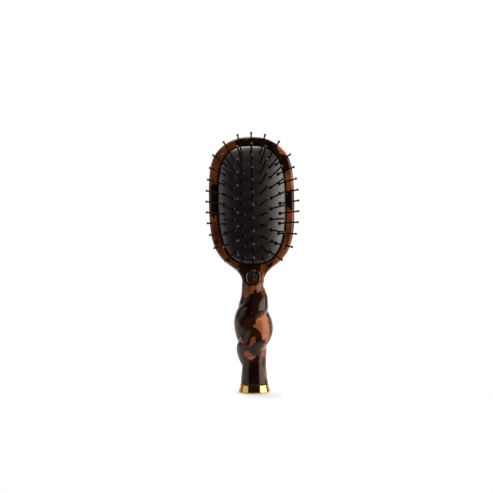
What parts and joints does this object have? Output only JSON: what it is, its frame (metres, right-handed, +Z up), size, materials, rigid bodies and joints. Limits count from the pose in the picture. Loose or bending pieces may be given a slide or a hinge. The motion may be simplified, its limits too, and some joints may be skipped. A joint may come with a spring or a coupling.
{
  "type": "hairbrush",
  "caption": "Oval cushion hairbrush with splayed ball-tipped pins and a twisted handle, standing on a flared metal foot.",
  "frame": {"origin": "centre of the underside of the metal foot, on the surface the brush stands on", "axes": "+Z up along the handle towards the head, the pins face -Y, +X to the right seen from the pin side"},
  "size_m": [0.0828, 0.0507, 0.231],
  "materials": {
    "acetate": "polished tortoiseshell",
    "cushion_rubber": "satin",
    "liner_cloth": "woven",
    "pin_nylon": "glossy, with slightly reddish ball tips",
    "gold_metal": "polished",
    "stud_steel": "plain",
    "pale_bronze": "polished",
    "cabochon": "polished"
  },
  "bodies": {
    "brush": {"brush_body": "acetate", "base_cap": "gold_metal", "cap_stud": "stud_steel", "medallion_rim": "pale_bronze", "medallion_disc": "cabochon"},
    "cushion": {"cushion_membrane": "cushion_rubber", "pin_head_liner": "liner_cloth"},
    "pins_1": {"pin_row_1": "pin_nylon"},
    "pins_2": {"pin_row_2": "pin_nylon"},
    "pins_3": {"pin_row_3": "pin_nylon"},
    "pins_4": {"pin_row_4": "pin_nylon"},
    "pins_5": {"pin_row_5": "pin_nylon"},
    "pins_6": {"pin_row_6": "pin_nylon"},
    "pins_7": {"pin_row_7": "pin_nylon"}
  },
  "joints": [
    {"name": "cushion_press", "type": "slide", "parent": "brush", "child": "cushion", "axis": [0, 0.9903, -0.1392], "range_m": [0, 0.003], "stiffness_N_per_m": 1200, "deforming": ["cushion_membrane", "pin_head_liner"]},
    {"name": "pin_row_1_lean", "type": "hinge", "parent": "cushion", "child": "pins_1", "pos_m": [-0.02389, -0.00479, 0.16736], "axis": [0, 0.1392, 0.9903], "range_deg": [-8, 8], "stiffness_Nm_per_rad": 0.2, "deforming": ["cushion_membrane", "pin_head_liner"]},
    {"name": "pin_row_2_lean", "type": "hinge", "parent": "cushion", "child": "pins_2", "pos_m": [-0.01653, -0.00684, 0.16725], "axis": [0, 0.1392, 0.9903], "range_deg": [-8, 8], "stiffness_Nm_per_rad": 0.2, "deforming": ["cushion_membrane", "pin_head_liner"]},
    {"name": "pin_row_3_lean", "type": "hinge", "parent": "cushion", "child": "pins_3", "pos_m": [-0.0083, -0.00781, 0.16678], "axis": [0, 0.1392, 0.9903], "range_deg": [-8, 8], "stiffness_Nm_per_rad": 0.2, "deforming": ["cushion_membrane", "pin_head_liner"]},
    {"name": "pin_row_4_lean", "type": "hinge", "parent": "cushion", "child": "pins_4", "pos_m": [0, -0.00797, 0.1668], "axis": [0, 0.1392, 0.9903], "range_deg": [-8, 8], "stiffness_Nm_per_rad": 0.2, "deforming": ["cushion_membrane", "pin_head_liner"]},
    {"name": "pin_row_5_lean", "type": "hinge", "parent": "cushion", "child": "pins_5", "pos_m": [0.0083, -0.00781, 0.16678], "axis": [0, 0.1392, 0.9903], "range_deg": [-8, 8], "stiffness_Nm_per_rad": 0.2, "deforming": ["cushion_membrane", "pin_head_liner"]},
    {"name": "pin_row_6_lean", "type": "hinge", "parent": "cushion", "child": "pins_6", "pos_m": [0.01653, -0.00684, 0.16725], "axis": [0, 0.1392, 0.9903], "range_deg": [-8, 8], "stiffness_Nm_per_rad": 0.2, "deforming": ["cushion_membrane", "pin_head_liner"]},
    {"name": "pin_row_7_lean", "type": "hinge", "parent": "cushion", "child": "pins_7", "pos_m": [0.02389, -0.00479, 0.16736], "axis": [0, 0.1392, 0.9903], "range_deg": [-8, 8], "stiffness_Nm_per_rad": 0.2, "deforming": ["cushion_membrane", "pin_head_liner"]}
  ]
}
